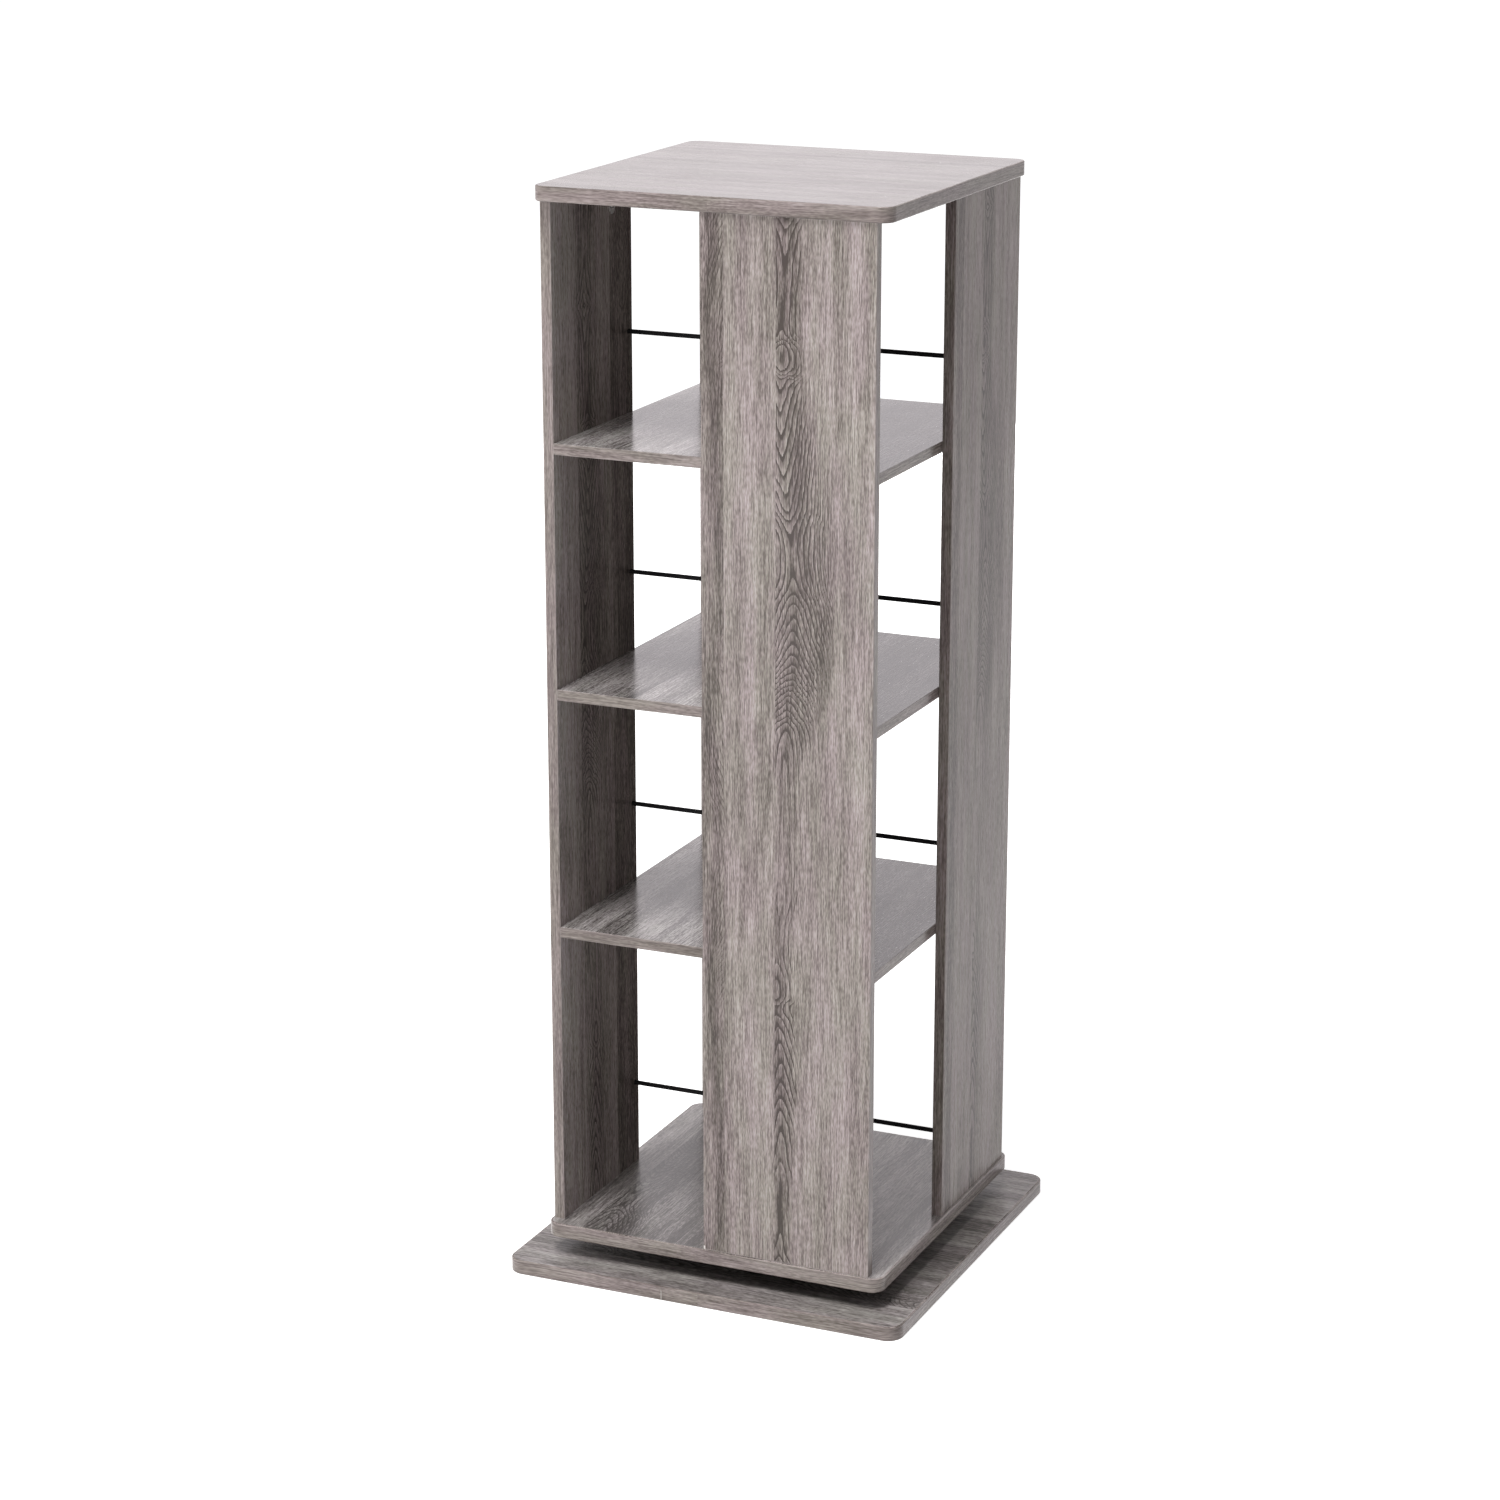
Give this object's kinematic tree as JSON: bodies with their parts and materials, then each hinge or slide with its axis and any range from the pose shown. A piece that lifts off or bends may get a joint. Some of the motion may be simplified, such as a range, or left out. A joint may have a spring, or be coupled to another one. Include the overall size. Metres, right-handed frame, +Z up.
{
  "type": "revolving bookcase",
  "caption": "Square open bookcase tower on a swivel over a base board; upright panels in a pinwheel round the shelves leave each quarter open to one side, with book-stop rods behind.",
  "frame": {"origin": "middle of the base board's underside, on the tower's turning axis", "axes": "+Z up along the turning axis, -Y towards the front, +X to the right seen from the front"},
  "size_m": [0.46, 0.46, 1.186],
  "materials": {
    "panel_oak": "grey oak printed foil, satin",
    "shelf_oak": "grey oak printed foil, satin",
    "board_oak": "grey oak printed foil, satin",
    "edge_band_oak": "grey oak printed edge band",
    "black_rod": "black powder coat",
    "zinc_cam": "die-cast zinc",
    "plated_steel": "zinc plated",
    "beech_dowel": "bare beech",
    "black_plate": "black coated pressed steel",
    "ball_steel": "polished steel",
    "nylon": "natural nylon"
  },
  "bodies": {
    "base": {"base_board": "board_oak", "base_edge_band": "edge_band_oak", "swivel_lower_plate": "black_plate", "swivel_lower_plate_screws": "plated_steel", "king_pin": "plated_steel", "king_pin_bush": "nylon", "king_pin_washer": "plated_steel"},
    "tower": {"deck_board": "board_oak", "top_board": "board_oak", "deck_edge_band": "edge_band_oak", "top_edge_band": "edge_band_oak", "panel_front": "panel_oak", "panel_right": "panel_oak", "panel_back": "panel_oak", "panel_left": "panel_oak", "shelf_lower": "shelf_oak", "shelf_middle": "shelf_oak", "shelf_upper": "shelf_oak", "cross_rod_1": "black_rod", "cross_rod_2": "black_rod", "cross_rod_3": "black_rod", "cross_rod_4": "black_rod", "depth_rod_1": "black_rod", "depth_rod_2": "black_rod", "depth_rod_3": "black_rod", "depth_rod_4": "black_rod", "top_cam_locks": "zinc_cam", "lower_shelf_cam_locks": "zinc_cam", "middle_shelf_cam_locks": "zinc_cam", "upper_shelf_cam_locks": "zinc_cam", "top_cam_bolts": "plated_steel", "lower_shelf_cam_bolts": "plated_steel", "middle_shelf_cam_bolts": "plated_steel", "upper_shelf_cam_bolts": "plated_steel", "top_dowels": "beech_dowel", "lower_shelf_dowels": "beech_dowel", "middle_shelf_dowels": "beech_dowel", "upper_shelf_dowels": "beech_dowel", "panel_foot_screws": "plated_steel", "swivel_upper_plate": "black_plate", "swivel_upper_plate_screws": "plated_steel"},
    "ball_cage": {"ball_cage": "nylon", "swivel_balls": "ball_steel"}
  },
  "joints": [
    {"name": "tower_spin", "type": "hinge", "parent": "base", "child": "tower", "pos_m": [0, 0, 0.026], "axis": [0, 0, 1], "continuous": true},
    {"name": "cage_spin", "type": "hinge", "parent": "base", "child": "ball_cage", "pos_m": [0, 0, 0.026], "axis": [0, 0, 1], "continuous": true}
  ],
  "couplings": [
    {"joint": "cage_spin", "follows": "tower_spin", "ratio": 0.5}
  ]
}
